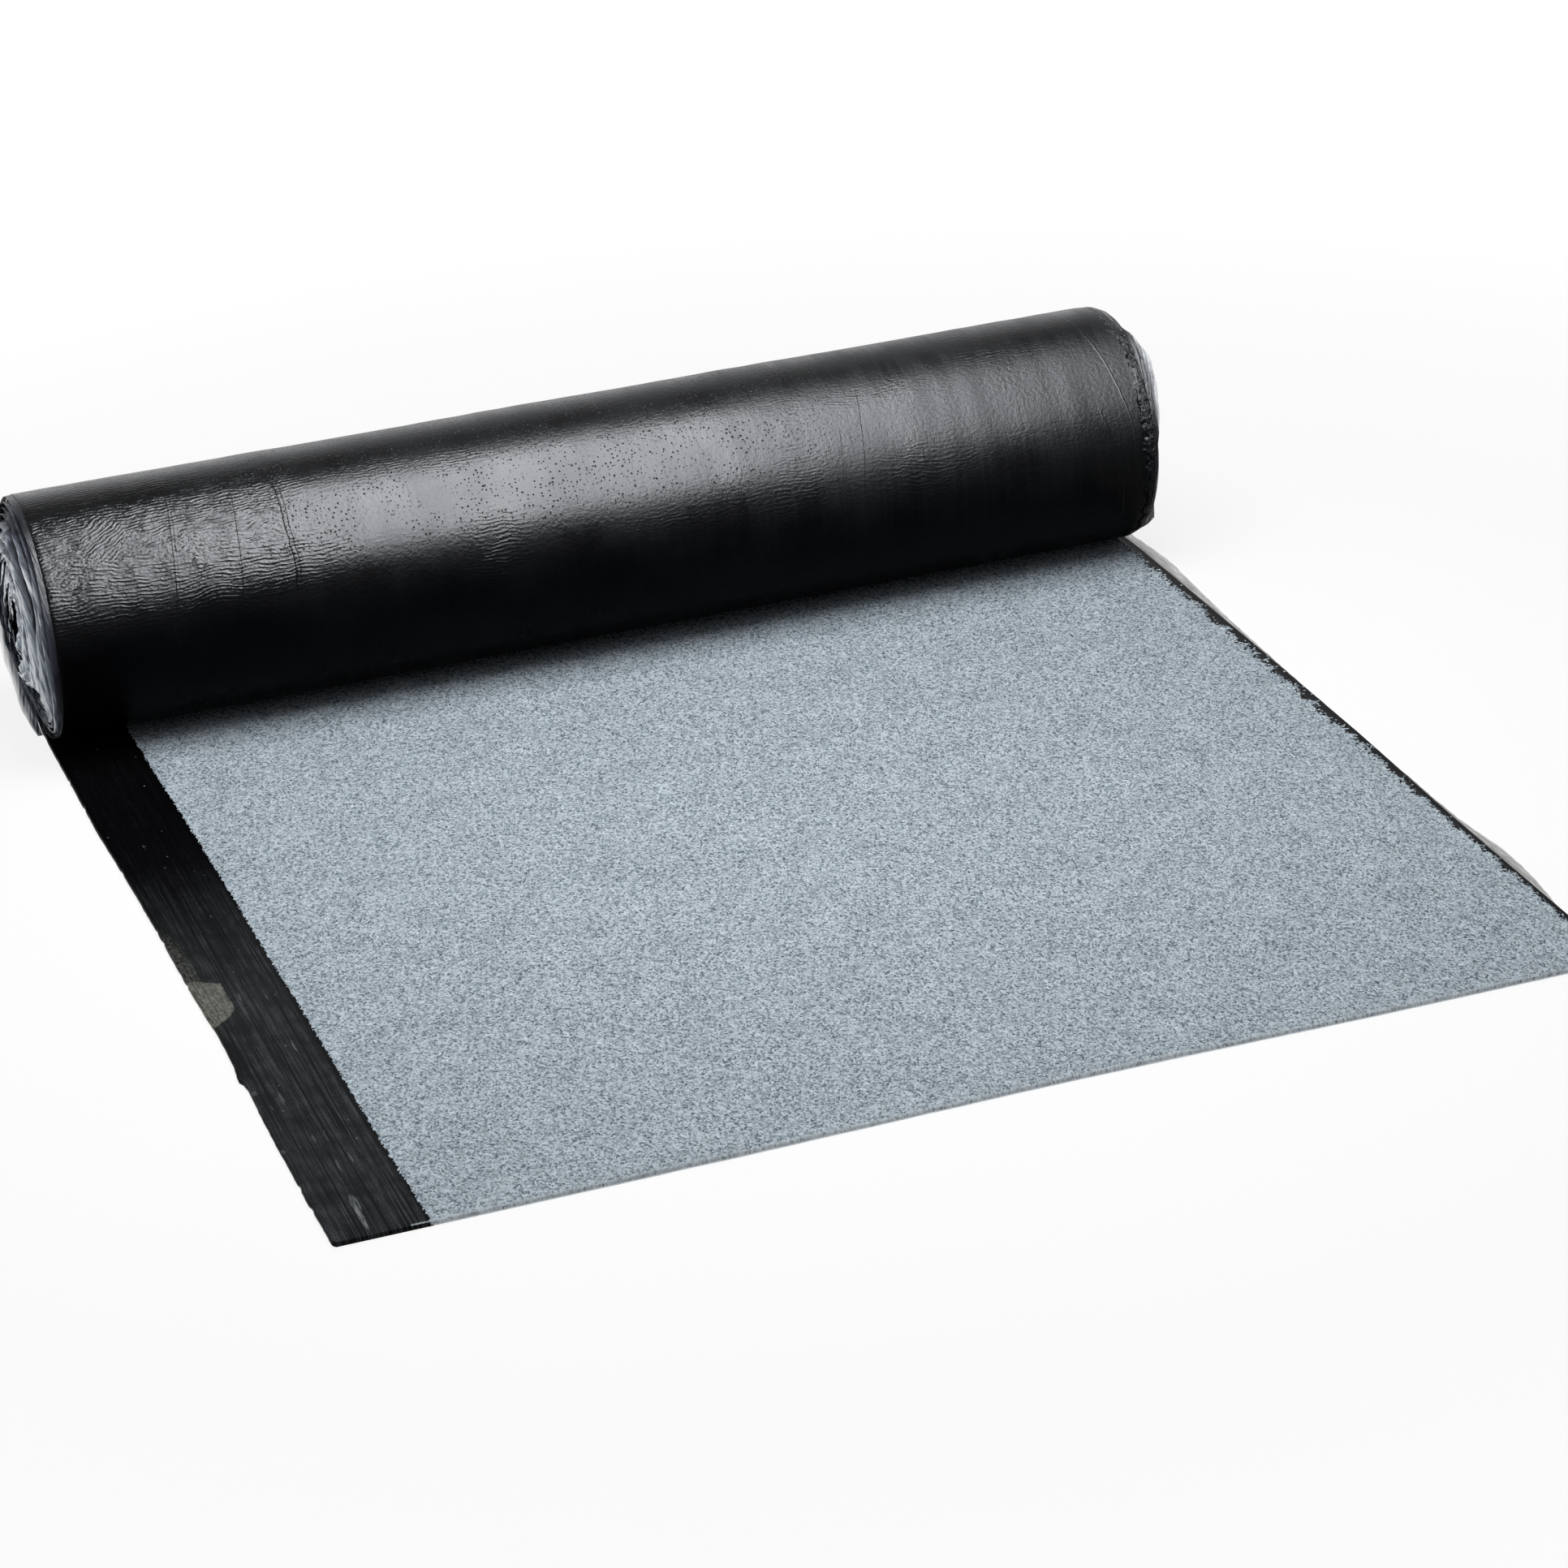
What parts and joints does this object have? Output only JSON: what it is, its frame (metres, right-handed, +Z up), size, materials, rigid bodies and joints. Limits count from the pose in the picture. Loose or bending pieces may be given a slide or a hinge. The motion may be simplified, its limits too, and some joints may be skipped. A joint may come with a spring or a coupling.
{
  "type": "roll of roofing felt",
  "caption": "Partly unrolled roll of mineral-finished torch-on roofing felt: a wound strip with an open bore, its outer end laid flat, and film margins.",
  "frame": {"origin": "on the ground, at the middle of the object's footprint", "axes": "+X along the roll's axis, toward the end without the selvedge; -Y along the laid sheet, away from the roll; +Z up"},
  "size_m": [1.0312, 1.0882, 0.2164],
  "materials": {
    "felt": "film-faced bitumen, glossy outside, blue-grey mineral chippings on the laid face",
    "film": "thin clear film, crinkled"
  },
  "bodies": {
    "root": {"felt": "felt", "end_film_left": "film", "end_film_right": "film", "margin_film": "film"}
  },
  "joints": []
}
